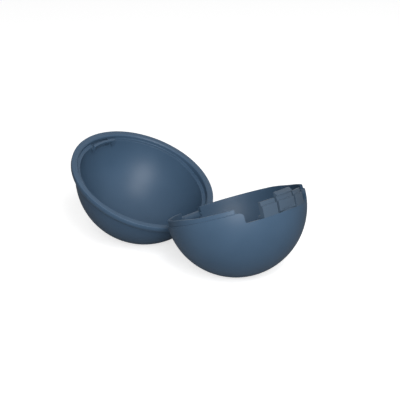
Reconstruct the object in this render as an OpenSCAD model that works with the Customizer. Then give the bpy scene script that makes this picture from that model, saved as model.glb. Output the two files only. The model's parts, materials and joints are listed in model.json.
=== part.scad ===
// Round clamshell case of two thin half-ball shells on one hinge pin.
// The case lies open: both shells rest on their round backs, the lid at its open stop.
// Shapes of both shells are drawn in the frame of the closed case, with the centre of the base's
// ball at the origin, X towards the latch, Y along the hinge and Z up through the lid.

/* [Case] */
// Outer diameter of the base's ball
ball_d = 62; // [54:0.5:80]
// How much larger the lid's ball is than the base's, in radius
lid_over = 0.2; // [0:0.05:0.5]
// Thickness of both shells
wall = 1.9; // [1.5:0.1:2.6]
// How far the lid's ball centre lies below the base's when closed
lid_sink = 2.35; // [1.5:0.05:3]
// Diameter of the flat under the base
foot_d = 6; // [4:0.5:10]

/* [Rim] */
// Depth of the base's ledge under its ball centre
ledge_drop = 0.5; // [0.3:0.1:1.2]
// Width of the ledge outside the spigot
ledge_w = 0.65; // [0.4:0.05:0.9]
// Height of the spigot over the ledge at the front
spigot_h = 1.9; // [1.4:0.1:2.3]
// Extra height of the spigot at the hinge side
spigot_rise = 0.7; // [0:0.1:0.9]
// Gap around the spigot in the closed lid
spigot_gap = 0.25; // [0.15:0.05:0.4]
// Gap between the ledge and the closed lid's rim
seat_gap = 0.15; // [0.05:0.01:0.2]
// Width of the lead-in around the lid's mouth
lead_in = 0.5; // [0.3:0.05:0.6]
// Height of the lid's proud band
band_h = 3.6; // [3.5:0.1:4.2]
// How far the band stands out from the base's ball
band_proud = 2.5; // [2.2:0.1:3]
// Radius of the band's edge at the dome
band_round = 2.4; // [1.6:0.1:2.6]
// Radius of the band's edge at the rim
band_edge = 0.3; // [0.3:0.05:0.6]

/* [Hinge] */
// Depth of the hinge pin inside the ball's outline, towards the centre line
hinge_inset = 0.08; // [-0.2:0.02:0.3]
// Depth of the hinge pin under the ball centre
hinge_drop = 1.71; // [1.4:0.01:2.4]
// Angle between the closed lid and the open stop
open_angle = 132.8; // [120:0.1:135]
// Diameter of the hinge pin
pin_d = 2; // [1.6:0.1:2.4]
// Diameter of the hinge barrels
barrel_d = 4.2; // [3.8:0.1:4.6]
// Length of the whole hinge
hinge_w = 21; // [18:0.5:24]
// Length of the lid's knuckle
knuckle_w = 11.6; // [9:0.1:13]
// Side gap between knuckle and ears
hinge_gap = 0.25; // [0.15:0.05:0.5]
// Radial running gap of the pin in the knuckle
pin_gap = 0.05; // [0.02:0.01:0.1]
// Gap around the barrels in the other shell
swing_gap = 0.4; // [0.3:0.05:0.6]
// Angle up to which the lid's wall stays beside the hinge
lid_wall_angle = 104; // [100:1:106]

/* [Front recess and latch] */
// Width of the recess in the base's front wall
recess_w = 39.8; // [36:0.2:44]
// Depth of the recess under the ball centre
recess_drop = 5.6; // [4.5:0.1:8]
// Radius of the recess's upper corners
recess_flare = 2.2; // [1:0.1:3]
// Radius of the recess's lower corners
recess_round = 1.2; // [0.5:0.1:2]
// Width of the latch post in the recess
post_w = 25.4; // [22:0.2:28]
// Height of the post's foot inside the base
foot_plate_h = 7; // [5:0.5:10]
// Thickness of the post's foot
foot_plate_t = 1.4; // [1:0.1:2]
// Width of the spring tongue
tongue_w = 9.6; // [8:0.2:12]
// Width of the slots beside the tongue
slot_w = 1.1; // [0.8:0.1:1.6]
// Thickness of the tongue above the ledge
tongue_t = 1.3; // [1.1:0.1:1.5]
// Height of the tongue over the ball centre
tongue_h = 3.55; // [3.3:0.05:3.6]
// Height of the barb's catching face over the ball centre
barb_z = 1.7; // [1.65:0.05:1.9]
// How far the barb stands out from the tongue
barb_out = 0.7; // [0.6:0.05:0.8]
// Radius of the tongue's rounded root
root_r = 0.75; // [0.6:0.05:0.8]
// Gap around the tongue's root and the barb
latch_gap = 0.25; // [0.15:0.05:0.3]
// Gap between the resting tongue and the lid's guard bar behind it
bar_gap = 0.75; // [0.7:0.05:0.9]
// Thickness of the guard bar across the radius
bar_t = 1.2; // [0.9:0.1:1.5]
// Height of the guard bar over the lid's rim
bar_h = 1.15; // [0.9:0.05:1.5]
// Width of the legs that join the bar to the lid
leg_w = 1.2; // [1:0.1:1.6]

/* [Hidden] */
$fn = 96;

navy = [0.25, 0.33, 0.43];
latch_navy = [0.32, 0.39, 0.46];
steel = [0.72, 0.73, 0.75];

ball_r = ball_d / 2;
lid_r = ball_r + lid_over;
bore_r = ball_r - wall;
lid_bore_r = lid_r - wall;
reach = 2 * ball_r;
hinge_reach = ball_r - hinge_inset;

ledge_z = -ledge_drop;
rim_z = ledge_z + seat_gap;
spigot_r = ball_r - ledge_w;
spigot_z = ledge_z + spigot_h;
rabbet_r = spigot_r + spigot_gap;
band_r = ball_r + band_proud;
band_top = rim_z + band_h;
ramp_front = 0.26 * ball_r;
ramp_back = -0.2 * ball_r;

barrel_r = barrel_d / 2;
barrel_clear = barrel_r + swing_gap;
ear_in = knuckle_w / 2 + hinge_gap;
ear_out = hinge_w / 2;
gusset_h = 3 * barrel_r;

post_foot_z = -recess_drop - foot_plate_h;
root_z = -recess_drop + root_r + latch_gap;
root_x = sqrt(pow(ball_r - wall / 2, 2) - root_z * root_z);
tongue_foot_z = root_z + root_r / 2;
tongue_r = spigot_r;
tongue_in_r = tongue_r - tongue_t;
barb_r = tongue_r + barb_out;
barb_land = 0.5;
tip_chamfer = 0.25;
barb_tip_r = tongue_r - 0.5;
barb_tip_z = tongue_h - tip_chamfer;
pocket_z = barb_z - latch_gap;
pocket_w = tongue_w + 2 * (latch_gap + 0.3);
pocket_top = tongue_h + latch_gap;
bar_r = tongue_in_r - bar_gap;
leg_in = pocket_w / 2 + 0.05;
leg_foot = spigot_z + spigot_gap;
leg_top = leg_foot + 1;

// The lid's ball centre in the base's frame when open, and the tilt that rests both balls on the floor
lid_cx = -hinge_reach + hinge_reach * cos(open_angle) - (hinge_drop - lid_sink) * sin(open_angle);
lid_cz = -hinge_drop + hinge_reach * sin(open_angle) + (hinge_drop - lid_sink) * cos(open_angle);
base_tilt = 180 - asin((lid_r - ball_r) / norm([lid_cx, lid_cz])) - atan2(lid_cz, lid_cx);
lid_tilt = 180 - open_angle - base_tilt;

// Places along X: the whole case is centred over the origin
lid_back = lid_cx * cos(base_tilt) - lid_cz * sin(base_tilt);
band_reach = (band_r - band_round) * cos(lid_tilt) + band_round
    + (lid_sink + band_top - band_round) * sin(lid_tilt);
base_x = (-lid_back + band_reach - ball_r) / 2;

// From the frame of the closed case to where the base lies
module base_place() {
    translate([base_x, 0, ball_r])
        rotate([0, -base_tilt, 0])
            children();
}

// From the frame of the closed case to where the open lid lies
module lid_place() {
    base_place()
        translate([-hinge_reach, 0, -hinge_drop])
            rotate([0, -open_angle, 0])
                translate([hinge_reach, 0, hinge_drop])
                    children();
}

// Everything above the height z
module above(z) {
    translate([-reach, -reach, z]) cube([2 * reach, 2 * reach, reach]);
}

// Everything between y = from and y = to, on both sides of the middle
module side_slabs(from, to) {
    for (side = [-1, 1])
        translate([-reach, side > 0 ? from : -to, -reach]) cube([2 * reach, to - from, 2 * reach]);
}

// Everything under the spigot's top, which ramps up towards the hinge
module under_spigot_top(extra) {
    low = spigot_z + extra;
    high = low + spigot_rise;
    rotate([90, 0, 0])
        linear_extrude(2 * reach, center = true)
            polygon([[-reach, -reach], [reach, -reach], [reach, low],
                [ramp_front, low], [ramp_back, high], [-reach, high]]);
}

// A cylinder along the hinge pin
module hinge_rod(radius, length) {
    translate([-hinge_reach, 0, -hinge_drop])
        rotate([90, 0, 0])
            cylinder(r = radius, h = length, center = true);
}

// Half of a ball's wall with the rim's profile above the ledge
module rim_wall() {
    difference() {
        union() {
            difference() {
                sphere(r = ball_r);
                above(ledge_z);
            }
            intersection() {
                translate([0, 0, ledge_z - wall]) cylinder(r = spigot_r, h = reach);
                under_spigot_top(0);
            }
        }
        sphere(r = bore_r);
        cylinder(r = bore_r, h = reach);
    }
}

// The recess's outline, across the front wall
module recess_outline() {
    half = recess_w / 2;
    top = spigot_z + spigot_rise + 1;
    flare_z = ledge_z - recess_flare;
    difference() {
        union() {
            translate([-half, -recess_drop + recess_round]) square([2 * half, top + recess_drop]);
            translate([-half + recess_round, -recess_drop]) square([2 * (half - recess_round), recess_drop]);
            for (side = [-1, 1])
                translate([side * (half - recess_round), -recess_drop + recess_round])
                    circle(r = recess_round);
            translate([-half - recess_flare, flare_z]) square([2 * (half + recess_flare), top + recess_drop]);
        }
        for (side = [-1, 1])
            translate([side * (half + recess_flare), flare_z]) circle(r = recess_flare);
    }
}

// The recess as a cut through the front wall
module recess() {
    rotate([90, 0, 90])
        linear_extrude(reach)
            recess_outline();
}

// The hinge's two ears: barrel ends with gussets that run down the ball
module ears() {
    intersection() {
        union() {
            hinge_rod(barrel_r, hinge_w);
            translate([-hinge_reach, 0, -hinge_drop])
                rotate([90, 0, 0])
                    linear_extrude(hinge_w, center = true)
                        polygon([[0, 0], [-0.75 * barrel_r, -0.6 * barrel_r],
                            [0.7 * barrel_r, -gusset_h], [2 * barrel_r, -gusset_h], [2 * barrel_r, 0]]);
        }
        side_slabs(ear_in, ear_out);
    }
}

module base_shell() color(navy) base_place() {
    difference() {
        union() {
            rim_wall();
            difference() {
                ears();
                sphere(r = bore_r);
            }
        }
        recess();
        hinge_rod(pin_d / 2, hinge_w + 1);
        // Room for the lid's knuckle and for the wall above it
        hinge_rod(barrel_clear, knuckle_w + 2 * hinge_gap);
        translate([-reach - bore_r / 2, -ear_in, ledge_z]) cube([reach, 2 * ear_in, reach]);
        translate([0, 0, -ball_r - reach + foot_sagitta(ball_r)]) cylinder(r = ball_r, h = reach);
    }
}

// Height that the flat foot takes off a ball
function foot_sagitta(r) = r - sqrt(r * r - foot_d * foot_d / 4);

// The part of the front wall that lies within a width and above a height
module wall_strip(width, low) {
    intersection() {
        rim_wall();
        translate([0, -width / 2, low]) cube([reach, width, reach]);
    }
}

// The slot around the tongue: two sides and a round seat for its root
module tongue_slot() {
    half = tongue_w / 2 + slot_w;
    translate([0, -half, root_z]) cube([reach, 2 * half, reach]);
    translate([root_x, 0, root_z])
        rotate([90, 0, 0])
            cylinder(r = root_r + latch_gap, h = 2 * half, center = true);
}

module latch_post() color(latch_navy) base_place() {
    difference() {
        union() {
            wall_strip(post_w, -recess_drop);
            intersection() {
                difference() {
                    sphere(r = bore_r);
                    sphere(r = bore_r - foot_plate_t);
                    above(-recess_drop + foot_plate_t);
                }
                translate([0, -post_w / 2, post_foot_z]) cube([reach, post_w, reach]);
            }
        }
        tongue_slot();
    }
}

// Section of the tongue and its barb, as radius and height
module tongue_section() {
    polygon([[tongue_in_r, ledge_z - 1], [tongue_r, ledge_z - 1], [tongue_r, barb_z],
        [barb_r, barb_z], [barb_r, barb_z + barb_land], [barb_tip_r, barb_tip_z],
        [barb_tip_r - tip_chamfer, tongue_h], [tongue_in_r + tip_chamfer, tongue_h],
        [tongue_in_r, barb_tip_z]]);
}

module latch_tongue() color(latch_navy) base_place() {
    intersection() {
        union() {
            rotate_extrude() tongue_section();
            difference() {
                sphere(r = ball_r);
                sphere(r = bore_r);
                above(ledge_z);
            }
        }
        union() {
            translate([0, -tongue_w / 2, tongue_foot_z]) cube([reach, tongue_w, reach]);
            translate([root_x, 0, root_z])
                rotate([90, 0, 0])
                    cylinder(r = root_r, h = tongue_w, center = true);
        }
    }
}

module hinge_pin() color(steel) base_place() {
    hinge_rod(pin_d / 2, hinge_w - 1);
}

// Section of the lid's band, as radius and height
module band_section() {
    translate([bore_r, rim_z]) square([band_r - band_round - bore_r, band_h]);
    translate([bore_r, rim_z]) square([band_r - band_edge - bore_r, band_h - band_round]);
    translate([bore_r, rim_z + band_edge]) square([band_proud + wall, band_h - band_round - band_edge]);
    translate([band_r - band_edge, rim_z + band_edge]) circle(r = band_edge);
    translate([band_r - band_round, band_top - band_round])
        intersection() {
            circle(r = band_round);
            square(band_round);
        }
}

// Section of the rabbet and the lead-in at its mouth
module rabbet_section() {
    polygon([[0, rim_z - 1], [rabbet_r + lead_in + 1, rim_z - 1], [rabbet_r, rim_z + lead_in],
        [rabbet_r, reach], [0, reach]]);
}

// Section of the pocket that the barb snaps into
module pocket_section() {
    skin_r = barb_tip_r + latch_gap + 0.1;
    polygon([[bore_r - wall, pocket_z], [barb_r + latch_gap, pocket_z],
        [barb_r + latch_gap, barb_z + barb_land + 0.1], [skin_r, barb_tip_z + 0.1],
        [skin_r, pocket_top], [bore_r - wall, pocket_top]]);
}

module lid_shell() color(navy) lid_place() {
    difference() {
        union() {
            intersection() {
                translate([0, 0, -lid_sink]) sphere(r = lid_r);
                above(rim_z);
            }
            rotate_extrude() band_section();
        }
        translate([0, 0, -lid_sink]) sphere(r = lid_bore_r);
        // The rabbet that takes the spigot, left out over the knuckle
        difference() {
            intersection() {
                rotate_extrude() rabbet_section();
                under_spigot_top(spigot_gap);
            }
            translate([-reach, -knuckle_w / 2, -reach]) cube([reach, knuckle_w, 2 * reach]);
        }
        intersection() {
            rotate_extrude() pocket_section();
            translate([0, -pocket_w / 2, 0]) cube([reach, pocket_w, reach]);
        }
        // Room for the base's ears, and the swing past them
        intersection() {
            hinge_rod(barrel_clear, reach);
            side_slabs(knuckle_w / 2, ear_out + 2 * hinge_gap);
        }
        translate([-hinge_reach, 0, -hinge_drop])
            rotate([90, 0, 0])
                linear_extrude(hinge_w + 4 * hinge_gap, center = true)
                    polygon([[0, 0], 4 * barrel_r * [cos(lid_wall_angle), sin(lid_wall_angle)],
                        [-4 * barrel_r, 4 * barrel_r], [-4 * barrel_r, 0]]);
    }
    difference() {
        hinge_rod(barrel_r, knuckle_w);
        hinge_rod(pin_d / 2 + pin_gap, hinge_w);
    }
}

// Section of the guard bar, as radius and height
module bar_section() {
    translate([bar_r - bar_t, rim_z]) square([bar_t, bar_h]);
}

// Section of the bar's legs: down behind the post, then out to the lid's wall
module leg_section() {
    translate([bar_r - bar_t, rim_z]) square([bar_t, leg_top - rim_z]);
    translate([bar_r - bar_t, leg_foot]) square([bar_t + wall, leg_top - leg_foot]);
}

module guard_bar() color(navy) lid_place() {
    intersection() {
        translate([0, 0, -lid_sink]) sphere(r = lid_bore_r);
        translate([0, -reach, -reach]) cube(2 * reach);
        union() {
            intersection() {
                rotate_extrude() bar_section();
                translate([0, -leg_in - leg_w, -reach]) cube([reach, 2 * (leg_in + leg_w), 2 * reach]);
            }
            intersection() {
                rotate_extrude() leg_section();
                side_slabs(leg_in, leg_in + leg_w);
            }
        }
    }
}

base_shell();
latch_post();
latch_tongue();
hinge_pin();
lid_shell();
guard_bar();
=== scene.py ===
import json
import math

import bmesh
import bpy
from mathutils import Matrix, Vector


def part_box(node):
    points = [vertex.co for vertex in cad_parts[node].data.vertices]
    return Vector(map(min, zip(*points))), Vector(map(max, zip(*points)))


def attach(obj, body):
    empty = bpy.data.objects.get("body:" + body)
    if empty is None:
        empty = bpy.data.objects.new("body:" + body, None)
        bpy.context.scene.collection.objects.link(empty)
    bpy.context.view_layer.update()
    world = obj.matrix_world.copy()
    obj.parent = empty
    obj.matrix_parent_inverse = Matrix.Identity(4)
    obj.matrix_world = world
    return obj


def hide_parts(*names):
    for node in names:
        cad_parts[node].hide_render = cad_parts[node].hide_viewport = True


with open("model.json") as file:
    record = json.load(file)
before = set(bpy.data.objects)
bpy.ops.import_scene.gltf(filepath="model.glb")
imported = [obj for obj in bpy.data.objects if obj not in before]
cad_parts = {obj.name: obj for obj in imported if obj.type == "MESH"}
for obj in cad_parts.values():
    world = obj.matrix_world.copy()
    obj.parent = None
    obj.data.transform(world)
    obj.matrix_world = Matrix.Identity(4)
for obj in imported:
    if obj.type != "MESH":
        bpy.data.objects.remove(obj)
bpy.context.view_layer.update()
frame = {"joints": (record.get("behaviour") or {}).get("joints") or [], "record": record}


# Base shell: the lower half-ball, injection moulded in navy polypropylene with a fine satin skin.
# Its wall steps in at a ledge to a spigot that the lid's rim slides over, the front is cut away
# on both sides of the latch, and two ears on the back carry the hinge pin.
mm = 0.001
base_low, base_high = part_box("base_shell")
ball_r = (base_high.y - base_low.y) / 2
wall = 1.9 * mm
bore_r = ball_r - wall
foot_r = 3 * mm
ledge_z = -0.5 * mm
spigot_r = ball_r - 0.65 * mm
spigot_top = 1.4 * mm
spigot_rise = 0.7 * mm
ramp_front = 0.26 * ball_r
ramp_back = -0.2 * ball_r
recess_half = 19.9 * mm
recess_floor = -5.6 * mm
recess_cut_top = 4 * mm
recess_flare = 2.2 * mm
recess_round = 1.2 * mm
pin_r = 1 * mm
barrel_r = 2.1 * mm
swing_gap = 0.4 * mm
ear_in = 6.05 * mm
ear_out = 10.5 * mm
ear_set_back = 0.3 * mm
gusset_top_x = 2 * barrel_r
gusset_toe_x = 0.7 * barrel_r
gusset_h = 3 * barrel_r
knuckle_room_top = 5 * mm
edge_soft = 0.24 * mm
fine_soft = 0.12 * mm
spin_steps = 144
arc_steps = 36
reach = 2 * ball_r
satin = 0.42
navy = (0.044, 0.080, 0.130)
navy_deep = (0.038, 0.071, 0.117)

# Every piece is modelled as in the closed case, round the centre of the base's ball, with X to the
# latch, Y along the hinge and Z up through the lid. base_place lays it as the open case lies.
foot_axis = frame["record"]["mounts"][0]["axis"]
base_tilt = math.atan2(foot_axis[0], -foot_axis[2])
base_centre = Vector((base_high.x - ball_r, 0, ball_r))
base_place = Matrix.Translation(base_centre) @ Matrix.Rotation(-base_tilt, 4, "Y")
lid_joint = frame["joints"][0]
hinge_point = Vector(lid_joint["pos_m"])
hinge_axis_point = base_place.inverted() @ hinge_point


def arc(centre_x, centre_z, radius, start, end, steps):
    """Points on a circle in the section plane, from one angle to another, in degrees."""
    turns = [math.radians(start + (end - start) * i / steps) for i in range(steps + 1)]
    return [(centre_x + radius * math.cos(a), centre_z + radius * math.sin(a)) for a in turns]


def angle_at(radius, height):
    """Angle above the horizon at which a circle of that radius reaches a height."""
    return math.degrees(math.asin(height / radius))


def spun(section, weld=0.001 * mm):
    """A closed section of (radius, height) points turned all round Z."""
    bm = bmesh.new()
    verts = [bm.verts.new((radius, 0, height)) for radius, height in section]
    edges = [bm.edges.new(pair) for pair in zip(verts, verts[1:] + verts[:1])]
    bmesh.ops.spin(bm, geom=edges + verts, cent=(0, 0, 0), axis=(0, 0, 1), angle=2 * math.pi,
                   steps=spin_steps, use_merge=True, use_duplicate=False)
    bmesh.ops.remove_doubles(bm, verts=bm.verts, dist=weld)
    bmesh.ops.recalc_face_normals(bm, faces=bm.faces)
    return bm


def prism(outline, axis, low, high):
    """An outline of (Y, Z) points pushed along X, or of (X, Z) points along Y, from low to high."""
    bm = bmesh.new()
    on_x = axis == "X"
    face = bm.faces.new([bm.verts.new((low, u, v) if on_x else (u, low, v)) for u, v in outline])
    pushed = bmesh.ops.extrude_face_region(bm, geom=[face])["geom"]
    moved = [v for v in pushed if isinstance(v, bmesh.types.BMVert)]
    shift = (high - low, 0, 0) if on_x else (0, high - low, 0)
    bmesh.ops.translate(bm, verts=moved, vec=shift)
    bmesh.ops.recalc_face_normals(bm, faces=bm.faces)
    return bm


def block(low, high):
    """A box between two corners."""
    size = Vector(high) - Vector(low)
    middle = (Vector(high) + Vector(low)) / 2
    bm = bmesh.new()
    bmesh.ops.create_cube(bm, size=1,
                          matrix=Matrix.Translation(middle) @ Matrix.Diagonal((*size, 1)))
    return bm


def slab(half, low_x, low_z=-reach):
    """A box from low_x and low_z out past the ball, reaching as far to each side of the middle."""
    return block((low_x, -half, low_z), (reach, half, reach))


def rod(centre, radius, length, segments=48):
    """A cylinder along Y."""
    bm = bmesh.new()
    lie = Matrix.Translation(centre) @ Matrix.Rotation(math.pi / 2, 4, "X")
    bmesh.ops.create_cone(bm, cap_ends=True, segments=segments, radius1=radius, radius2=radius,
                          depth=length, matrix=lie)
    return bm


def as_object(bm, name):
    """A mesh object at the origin that takes over the bmesh."""
    mesh = bpy.data.meshes.new(name)
    bm.to_mesh(mesh)
    bm.free()
    obj = bpy.data.objects.new(name, mesh)
    bpy.context.scene.collection.objects.link(obj)
    return obj


def in_order(bm):
    """Puts points, edges and faces in the order of their places, so that each run is alike."""
    for rank, v in enumerate(sorted(bm.verts, key=lambda v: v.co[:])):
        v.index = rank
    bm.verts.sort()
    for parts in (bm.edges, bm.faces):
        for rank, part in enumerate(sorted(parts, key=lambda p: sorted(v.index for v in p.verts))):
            part.index = rank
        parts.sort()
    return bm


def combined(body, operation, *tools):
    """The body after each tool was cut from it, joined to it or crossed with it."""
    body_obj = as_object(body, "blank")
    tool_objs = [as_object(tool, "tool") for tool in tools]
    for tool_obj in tool_objs:
        modifier = body_obj.modifiers.new("shape", "BOOLEAN")
        modifier.operation = operation
        modifier.solver = "MANIFOLD"
        modifier.object = tool_obj
    depsgraph = bpy.context.evaluated_depsgraph_get()
    result = bmesh.new()
    result.from_object(body_obj, depsgraph)
    for obj in [body_obj, *tool_objs]:
        mesh = obj.data
        bpy.data.objects.remove(obj)
        bpy.data.meshes.remove(mesh)
    return in_order(result)


def deburred(bm, merge):
    """Takes off the sliver flaps that rounding can leave where cuts meet, and closes pinholes."""
    flaps = [None]
    while flaps:
        flaps = [f for f in bm.faces if any(e.is_boundary for e in f.edges)
                 and any(len(e.link_faces) > 2 for e in f.edges)]
        bmesh.ops.delete(bm, geom=flaps, context="FACES")
    bmesh.ops.collapse(bm, edges=[e for e in bm.edges if len(e.link_faces) > 2])
    bmesh.ops.remove_doubles(bm, verts=[v for v in bm.verts if v.is_boundary], dist=merge)
    bmesh.ops.delete(bm, geom=[e for e in bm.edges if e.is_wire], context="EDGES")
    bmesh.ops.delete(bm, geom=[v for v in bm.verts if not v.link_edges], context="VERTS")
    return bm


def softened(bm, width, merge=0.03 * mm, speck=0.002 * mm, sharp=28, segments=4):
    """Rounds every edge that is sharper than an angle, as a mould's edges are."""
    bmesh.ops.remove_doubles(bm, verts=bm.verts, dist=merge)
    bmesh.ops.dissolve_degenerate(bm, edges=bm.edges, dist=merge / 4)
    edges = [e for e in bm.edges
             if len(e.link_faces) == 2 and e.calc_face_angle(0) > math.radians(sharp)]
    bmesh.ops.bevel(bm, geom=edges, offset=width, offset_type="OFFSET", segments=segments,
                    profile=0.5, affect="EDGES", clamp_overlap=True, material=-1)
    bmesh.ops.remove_doubles(bm, verts=bm.verts, dist=speck)
    return deburred(bm, merge)


def ramp(x):
    """How much of the spigot's extra height stands at a place between the front and the hinge."""
    share = min(1, max(0, (ramp_front - x) / (ramp_front - ramp_back)))
    return share * share * (3 - 2 * share)


def raise_ring(bm, height, rise):
    """Lifts every point over a height by the ramp."""
    for v in bm.verts:
        if v.co.z > height:
            v.co.z += rise * ramp(v.co.x)


def new_finish(name):
    """A new material, with what adds its nodes, what links them and its shader."""
    material = bpy.data.materials.new(name)
    material.use_nodes = True
    tree = material.node_tree
    return material, tree.nodes.new, tree.links.new, tree.nodes["Principled BSDF"]


def moulded_plastic(name, light, deep, roughness, spread=0.04, grain=0.05, grain_h=0.05 * mm):
    """Satin plastic: pigment that drifts a little, and the fine even grain of an eroded mould."""
    material, node, link, shader = new_finish(name)
    shader.inputs["Specular IOR Level"].default_value = 0.2
    place = node("ShaderNodeTexCoord")
    drift = node("ShaderNodeTexNoise")
    drift.inputs["Scale"].default_value = 55
    drift.inputs["Detail"].default_value = 3
    tint = node("ShaderNodeValToRGB")
    tint.color_ramp.elements[0].position = 0.3
    tint.color_ramp.elements[0].color = (*deep, 1)
    tint.color_ramp.elements[1].position = 0.7
    tint.color_ramp.elements[1].color = (*light, 1)
    skin = node("ShaderNodeTexNoise")
    skin.inputs["Scale"].default_value = 2600
    skin.inputs["Detail"].default_value = 2
    gloss = node("ShaderNodeMapRange")
    gloss.inputs["To Min"].default_value = roughness - spread
    gloss.inputs["To Max"].default_value = roughness + spread
    bump = node("ShaderNodeBump")
    bump.inputs["Strength"].default_value = grain
    bump.inputs["Distance"].default_value = grain_h
    link(place.outputs["Object"], drift.inputs["Vector"])
    link(place.outputs["Object"], skin.inputs["Vector"])
    link(drift.outputs["Fac"], tint.inputs["Fac"])
    link(tint.outputs["Color"], shader.inputs["Base Color"])
    link(skin.outputs["Fac"], gloss.inputs["Value"])
    link(gloss.outputs["Result"], shader.inputs["Roughness"])
    link(skin.outputs["Fac"], bump.inputs["Height"])
    link(bump.outputs["Normal"], shader.inputs["Normal"])
    return material


def finished(bm, name, place, material, body, node, crease=40, face_weight=60):
    """The piece in its place, smooth but for its true edges, riding on the body of its node."""
    bmesh.ops.transform(bm, matrix=place, verts=bm.verts)
    obj = as_object(in_order(bm), name)
    obj.data.shade_smooth()
    obj.data.set_sharp_from_angle(angle=math.radians(crease))
    obj.data.materials.append(material)
    even = obj.modifiers.new("even_shading", "WEIGHTED_NORMAL")
    even.keep_sharp = True
    even.weight = face_weight
    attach(obj, body)
    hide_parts(node)


foot_z = -math.sqrt(ball_r ** 2 - foot_r ** 2)
ledge_angle = angle_at(ball_r, ledge_z)
base_section = [(0, foot_z)]
base_section += arc(0, 0, ball_r, angle_at(ball_r, foot_z),
                    angle_at(ball_r, ledge_z - edge_soft), arc_steps)
base_section += arc(base_section[-1][0] - edge_soft, ledge_z - edge_soft, edge_soft, 15, 90, 4)
base_section += [(spigot_r, ledge_z)]
base_section += arc(spigot_r - edge_soft, spigot_top - edge_soft, edge_soft, 0, 90, 5)
base_section += arc(bore_r + edge_soft, spigot_top - edge_soft, edge_soft, 90, 180, 5)
base_section += arc(0, 0, bore_r, 0, -90, arc_steps)

flare_z = ledge_z - recess_flare
recess_outline = arc(recess_half - recess_round, recess_floor + recess_round, recess_round,
                     -90, 0, 6)
recess_outline += arc(recess_half + recess_flare, flare_z, recess_flare, 180, 90, 8)
recess_outline += [(recess_half + recess_flare, recess_cut_top)]
recess_outline += [(-y, z) for y, z in reversed(recess_outline)]

hinge_x, _, hinge_z = hinge_axis_point
ear_outline = arc(hinge_x, hinge_z, barrel_r, 0, 205, 20)
ear_outline += [(hinge_x + gusset_toe_x, hinge_z - gusset_h),
                (hinge_x + gusset_top_x, hinge_z - gusset_h), (hinge_x + gusset_top_x, hinge_z)]


def hinge_ear(start):
    """An ear and its gusset from a place along the hinge, cut back to leave the bowl clear."""
    bowl = spun(arc(0, 0, bore_r + ear_set_back, -90, 90, arc_steps))
    return combined(prism(ear_outline, "Y", start, start + ear_out - ear_in), "DIFFERENCE", bowl)


shell = spun(base_section)
raise_ring(shell, spigot_top - 2 * edge_soft, spigot_rise)
shell = combined(shell, "DIFFERENCE", prism(recess_outline, "X", 0, reach))
shell = softened(shell, edge_soft)
shell = combined(shell, "UNION", hinge_ear(ear_in), hinge_ear(-ear_out))
shell = combined(
    shell, "DIFFERENCE",
    rod(hinge_axis_point, pin_r, 3 * ear_out),
    rod(hinge_axis_point, barrel_r + swing_gap, 2 * ear_in),
    block((-reach, -ear_in, ledge_z), (-bore_r / 2, ear_in, knuckle_room_top)),
)
base_plastic = moulded_plastic("base_plastic", navy, navy_deep, satin)
finished(softened(shell, fine_soft), "base_shell_moulding", base_place, base_plastic,
         "base", "base_shell")


# Latch post: a separate insert in the recess, moulded in a slightly greyer navy. Two shoulders
# carry on the base's wall and spigot, a slot between them frees the tongue, and a foot plate
# inside the base holds it.
post_half = 12.7 * mm
plate_h = 7 * mm
plate_t = 1.4 * mm
tongue_half = 4.8 * mm
slot_w = 1.1 * mm
root_r = 0.75 * mm
latch_gap = 0.25 * mm
seat_r = root_r + 0.8 * latch_gap
root_z = recess_floor + root_r + latch_gap
root_point = Vector((math.sqrt((ball_r - wall / 2) ** 2 - root_z ** 2), 0, root_z))
latch_soft = 0.18 * mm
latch_navy = (0.050, 0.077, 0.113)
latch_deep = (0.044, 0.069, 0.102)

plate_r = bore_r - plate_t
plate_top = recess_floor + plate_t
plate_foot = recess_floor - plate_h
post_section = arc(0, 0, ball_r, angle_at(ball_r, recess_floor), ledge_angle, 4)
post_section += [(spigot_r, ledge_z), (spigot_r, spigot_top), (bore_r, spigot_top)]
post_section += arc(0, 0, bore_r, 0, angle_at(bore_r, plate_top), 4)
post_section += arc(0, 0, plate_r, angle_at(plate_r, plate_top), angle_at(plate_r, plate_foot), 6)
post_section += arc(0, 0, bore_r, angle_at(bore_r, plate_foot), angle_at(bore_r, recess_floor), 6)
slot_half = tongue_half + slot_w
post = combined(spun(post_section), "INTERSECT", slab(post_half, 0))
post = combined(post, "DIFFERENCE",
                slab(slot_half, 0, root_z), rod(root_point, seat_r, 2 * slot_half))
latch_plastic = moulded_plastic("latch_plastic", latch_navy, latch_deep, satin)
finished(softened(post, latch_soft), "latch_post_insert", base_place, latch_plastic,
         "base", "latch_post")


# Latch tongue: the spring finger between the post's shoulders, in the same greyer navy. It bends
# at its round root, and the barb on its tip snaps into the pocket in the lid's band.
tongue_t = 1.3 * mm
tongue_top = 3.55 * mm
tip_chamfer = 0.25 * mm
barb_z = 1.7 * mm
barb_r = spigot_r + 0.7 * mm
barb_land = 0.5 * mm
barb_tip_r = spigot_r - 0.5 * mm
tongue_in_r = spigot_r - tongue_t
tongue_foot = root_z + root_r / 2
tongue_section = arc(0, 0, ball_r, angle_at(ball_r, tongue_foot), ledge_angle, 4)
tongue_section += [(spigot_r, ledge_z), (spigot_r, barb_z), (barb_r, barb_z),
                   (barb_r, barb_z + barb_land), (barb_tip_r, tongue_top - tip_chamfer),
                   (barb_tip_r - tip_chamfer, tongue_top), (tongue_in_r, tongue_top)]
tongue_section += arc(0, 0, bore_r, angle_at(bore_r, 2 * ledge_z),
                      angle_at(bore_r, tongue_foot), 4)
tongue = combined(spun(tongue_section), "INTERSECT", slab(tongue_half, 0))
tongue = combined(tongue, "UNION", rod(root_point, root_r, 2 * tongue_half))
finished(softened(tongue, latch_soft), "latch_tongue_spring", base_place, latch_plastic,
         "tongue", "latch_tongue")


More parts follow.
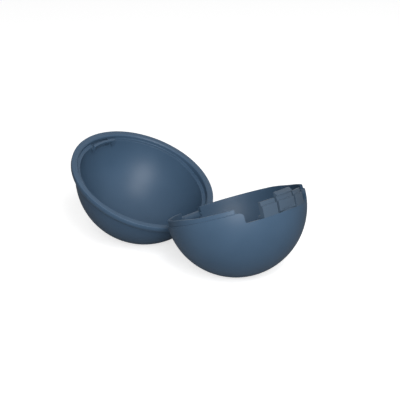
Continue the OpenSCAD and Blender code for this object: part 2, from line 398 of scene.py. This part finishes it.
# Hinge pin: drawn stainless wire, cut to length with rounded ends and pressed into the ears. The
# lid's knuckle turns on it.
pin_length = 20 * mm
pin_soft = 0.2 * mm
steel_light = (0.66, 0.67, 0.69)
steel_deep = (0.52, 0.53, 0.55)


def drawn_steel(name, light, deep):
    """Bright wire with fine draw lines along its length."""
    material, node, link, shader = new_finish(name)
    shader.inputs["Metallic"].default_value = 1
    place = node("ShaderNodeTexCoord")
    stretch = node("ShaderNodeMapping")
    stretch.inputs["Scale"].default_value = (9000, 300, 9000)
    lines = node("ShaderNodeTexNoise")
    lines.inputs["Scale"].default_value = 1
    tint = node("ShaderNodeValToRGB")
    tint.color_ramp.elements[0].color = (*deep, 1)
    tint.color_ramp.elements[1].color = (*light, 1)
    gloss = node("ShaderNodeMapRange")
    gloss.inputs["To Min"].default_value = 0.22
    gloss.inputs["To Max"].default_value = 0.38
    link(place.outputs["Object"], stretch.inputs["Vector"])
    link(stretch.outputs["Vector"], lines.inputs["Vector"])
    link(lines.outputs["Fac"], tint.inputs["Fac"])
    link(tint.outputs["Color"], shader.inputs["Base Color"])
    link(lines.outputs["Fac"], gloss.inputs["Value"])
    link(gloss.outputs["Result"], shader.inputs["Roughness"])
    return material


pin_steel = drawn_steel("pin_steel", steel_light, steel_deep)
finished(softened(rod(hinge_axis_point, pin_r, pin_length), pin_soft), "hinge_pin_wire",
         base_place, pin_steel, "base", "hinge_pin")


# Lid shell: the upper half-ball, moulded in the base's navy. A proud rounded band runs round its
# rim, a rabbet inside takes the base's spigot, and the knuckle at the back turns on the pin.
lid_r = ball_r + 0.2 * mm
lid_bore_r = lid_r - wall
lid_sink = 2.35 * mm
rim_z = -0.35 * mm
band_r = ball_r + 2.5 * mm
band_top = rim_z + 3.6 * mm
band_round = 2.4 * mm
band_edge = 0.3 * mm
lead_in = 0.5 * mm
cut_past = 1 * mm
spigot_gap = 0.25 * mm
rabbet_r = spigot_r + spigot_gap
rabbet_top = spigot_top + spigot_gap
cut_in_r = bore_r - wall
knuckle_half = 5.8 * mm
fill_half = 5.95 * mm
hinge_gap = 0.25 * mm
knuckle_pin_r = pin_r + 0.05 * mm
ear_room = ear_out + 2 * hinge_gap
swing_angle = math.radians(104)
swing_reach = 4 * barrel_r
pocket_ease = 0.1 * mm
pocket_side = 0.3 * mm
pocket_half = tongue_half + latch_gap + pocket_side
pocket_z = barb_z - latch_gap
pocket_top = tongue_top + latch_gap
pocket_r = barb_r + latch_gap
pocket_tip_r = barb_tip_r + latch_gap + pocket_ease
open_turn = Matrix.Rotation(-math.radians(lid_joint["range_deg"][1]), 4, "Y")
lid_place = (Matrix.Translation(hinge_point) @ open_turn
             @ Matrix.Translation(-hinge_point) @ base_place)

lid_section = arc(0, -lid_sink, lid_r, 90, angle_at(lid_r, band_top + lid_sink), arc_steps)
lid_section += arc(band_r - band_round, band_top - band_round, band_round, 90, 0, 8)
lid_section += arc(band_r - band_edge, rim_z + band_edge, band_edge, 0, -90, 4)
lid_section += arc(0, -lid_sink, lid_bore_r, angle_at(lid_bore_r, rim_z + lid_sink), 90, arc_steps)

# The rabbet follows the spigot's rise to the back, and stops at the knuckle.
rabbet = spun([(cut_in_r, rim_z - cut_past), (rabbet_r + lead_in + cut_past, rim_z - cut_past),
               (rabbet_r, rim_z + lead_in),
               *arc(rabbet_r - edge_soft, rabbet_top - edge_soft, edge_soft, 0, 90, 4),
               (cut_in_r, rabbet_top)])
raise_ring(rabbet, rabbet_top - 2 * edge_soft, spigot_rise)
rabbet = combined(rabbet, "DIFFERENCE",
                  block((-reach, -fill_half, -reach), (0, fill_half, reach)))
pocket = spun([(cut_in_r, pocket_z), (pocket_r, pocket_z),
               (pocket_r, barb_z + barb_land + pocket_ease),
               (pocket_tip_r, tongue_top - tip_chamfer + pocket_ease),
               (pocket_tip_r, pocket_top), (cut_in_r, pocket_top)])
pocket = combined(pocket, "INTERSECT", slab(pocket_half, 0, 0))

# The rim is cut away over the ears, from the hinge outwards, so that it can swing past them.
swing = prism([(hinge_x, hinge_z),
               (hinge_x + swing_reach * math.cos(swing_angle),
                hinge_z + swing_reach * math.sin(swing_angle)),
               (hinge_x - swing_reach, hinge_z + swing_reach),
               (hinge_x - swing_reach, hinge_z)], "Y", -ear_room, ear_room)
ear_rooms = [rod(hinge_axis_point + Vector((0, side * (ear_room + knuckle_half) / 2, 0)),
                 barrel_r + swing_gap, ear_room - knuckle_half) for side in (-1, 1)]
dome = softened(combined(spun(lid_section), "DIFFERENCE", rabbet), edge_soft)
dome = combined(dome, "DIFFERENCE", swing)
dome = combined(dome, "UNION", rod(hinge_axis_point, barrel_r, 2 * fill_half))
dome = combined(dome, "DIFFERENCE", pocket, *ear_rooms,
                rod(hinge_axis_point, knuckle_pin_r, 3 * knuckle_half))
lid_plastic = moulded_plastic("lid_plastic", navy, navy_deep, satin)
finished(softened(dome, fine_soft), "lid_shell_moulding", lid_place, lid_plastic,
         "lid", "lid_shell")


# Guard bar: a curved rib behind the latch's tongue, in the lid's plastic, moulded on two legs that
# stand on the lid's wall. It keeps the tongue from bending too far in.
bar_t = 1.2 * mm
bar_r = tongue_in_r - 0.75 * mm
bar_in_r = bar_r - bar_t
bar_top = rim_z + 1.15 * mm
leg_w = 1.2 * mm
leg_in = pocket_half + 0.05 * mm
leg_out = leg_in + leg_w
leg_foot = rabbet_top
leg_top = leg_foot + 1 * mm

bar = spun([(bar_in_r, rim_z), (bar_r, rim_z), (bar_r, bar_top), (bar_in_r, bar_top)])
bar = combined(bar, "INTERSECT", slab(leg_out, 0))
leg_section = [(bar_in_r, rim_z), (bar_r, rim_z), (bar_r, leg_foot)]
leg_section += arc(0, -lid_sink, lid_bore_r, angle_at(lid_bore_r, leg_foot + lid_sink),
                   angle_at(lid_bore_r, leg_top + lid_sink), 3)
leg_section += [(bar_in_r, leg_top)]
legs = [combined(spun(leg_section), "INTERSECT",
                 block((0, low, -reach), (reach, low + leg_out - leg_in, reach)))
        for low in (leg_in, -leg_out)]
bar = combined(bar, "UNION", *legs)
finished(softened(bar, latch_soft), "guard_bar_rib", lid_place, lid_plastic,
         "lid", "guard_bar")


# The stage: a pale matt floor under the case, a white surround that only the camera and the
# reflections see, and three square soft lamps, in front of the case and above it.
floor_half = 3
floor_glow = 0.62
floor_grey = (0.3, 0.3, 0.3, 1)
floor_pale = (0.8, 0.8, 0.8, 1)
room_level = 0.2
sheet_level = 1
white = (1, 1, 1, 1)
lamp_aim = (0, 0, 0.02)

floor_mesh = bmesh.new()
bmesh.ops.create_grid(floor_mesh, x_segments=1, y_segments=1, size=floor_half)
floor = as_object(floor_mesh, "floor")
floor_paint, floor_node, floor_link, floor_shader = new_finish("floor_paint")
floor_shader.inputs["Roughness"].default_value = 0.9
floor_shader.inputs["Specular IOR Level"].default_value = 0
floor_shader.inputs["Emission Color"].default_value = white
floor_sight = floor_node("ShaderNodeLightPath")
floor_lift = floor_node("ShaderNodeMath")
floor_lift.operation = "MULTIPLY"
floor_lift.inputs[1].default_value = floor_glow
floor_tone = floor_node("ShaderNodeMix")
floor_tone.data_type = "RGBA"
floor_tone.inputs["A"].default_value = floor_grey
floor_tone.inputs["B"].default_value = floor_pale
floor_link(floor_sight.outputs["Is Camera Ray"], floor_tone.inputs["Factor"])
floor_link(floor_tone.outputs["Result"], floor_shader.inputs["Base Color"])
floor_link(floor_sight.outputs["Is Camera Ray"], floor_lift.inputs[0])
floor_link(floor_lift.outputs["Value"], floor_shader.inputs["Emission Strength"])
floor.data.materials.append(floor_paint)

world = bpy.data.worlds.new("surround")
bpy.context.scene.world = world
world.use_nodes = True
world_node = world.node_tree.nodes.new
world_link = world.node_tree.links.new
room_light = world.node_tree.nodes["Background"]
room_light.inputs["Color"].default_value = white
room_light.inputs["Strength"].default_value = room_level
white_sheet = world_node("ShaderNodeBackground")
white_sheet.inputs["Color"].default_value = white
white_sheet.inputs["Strength"].default_value = sheet_level
sight = world_node("ShaderNodeLightPath")
seen = sight.outputs["Is Camera Ray"]
for ray in ("Is Glossy Ray", "Is Transmission Ray"):
    either = world_node("ShaderNodeMath")
    either.operation = "MAXIMUM"
    world_link(seen, either.inputs[0])
    world_link(sight.outputs[ray], either.inputs[1])
    seen = either.outputs["Value"]
pick = world_node("ShaderNodeMixShader")
world_link(seen, pick.inputs["Fac"])
world_link(room_light.outputs["Background"], pick.inputs[1])
world_link(white_sheet.outputs["Background"], pick.inputs[2])
world_link(pick.outputs["Shader"], world.node_tree.nodes["World Output"].inputs["Surface"])


def softbox(name, place, size, power):
    """A square area lamp that looks at the case."""
    lamp = bpy.data.lights.new(name, "AREA")
    lamp.shape = "SQUARE"
    lamp.size = size
    lamp.energy = power
    obj = bpy.data.objects.new(name, lamp)
    obj.location = place
    obj.rotation_euler = (Vector(lamp_aim) - Vector(place)).to_track_quat("-Z", "Y").to_euler()
    bpy.context.scene.collection.objects.link(obj)


softbox("key_softbox", (0.49, -0.28, 0.56), 0.35, 3.2)
softbox("top_softbox", (-0.05, 0.05, 0.8), 0.7, 0.4)
softbox("front_softbox", (0.62, -0.6, 0.28), 0.5, 8.5)


# The camera: it looks at the open case from the latch's side and a little from above, with a long
# lens. Its place and turn were fitted to the outlines of both shells.
camera_aim = Vector((16.32, -10.0, 33.4)) * mm
camera_distance = 962.07 * mm
camera_azimuth = 42.951
camera_elevation = 20.382
camera_roll = 0.577
sensor_width = 36
focal_length = 199.25
near_clip = 0.05

lens = bpy.data.cameras.new("camera")
lens.sensor_width = sensor_width
lens.lens = focal_length
lens.clip_start = near_clip
camera = bpy.data.objects.new("camera", lens)
camera_turn = (Matrix.Rotation(math.radians(camera_azimuth), 4, "Z")
               @ Matrix.Rotation(math.radians(90 - camera_elevation), 4, "X")
               @ Matrix.Rotation(math.radians(camera_roll), 4, "Z"))
camera.matrix_world = (Matrix.Translation(camera_aim) @ camera_turn
                       @ Matrix.Translation((0, 0, camera_distance)))
bpy.context.scene.collection.objects.link(camera)
bpy.context.scene.camera = camera
bpy.context.scene.view_settings.view_transform = "Standard"
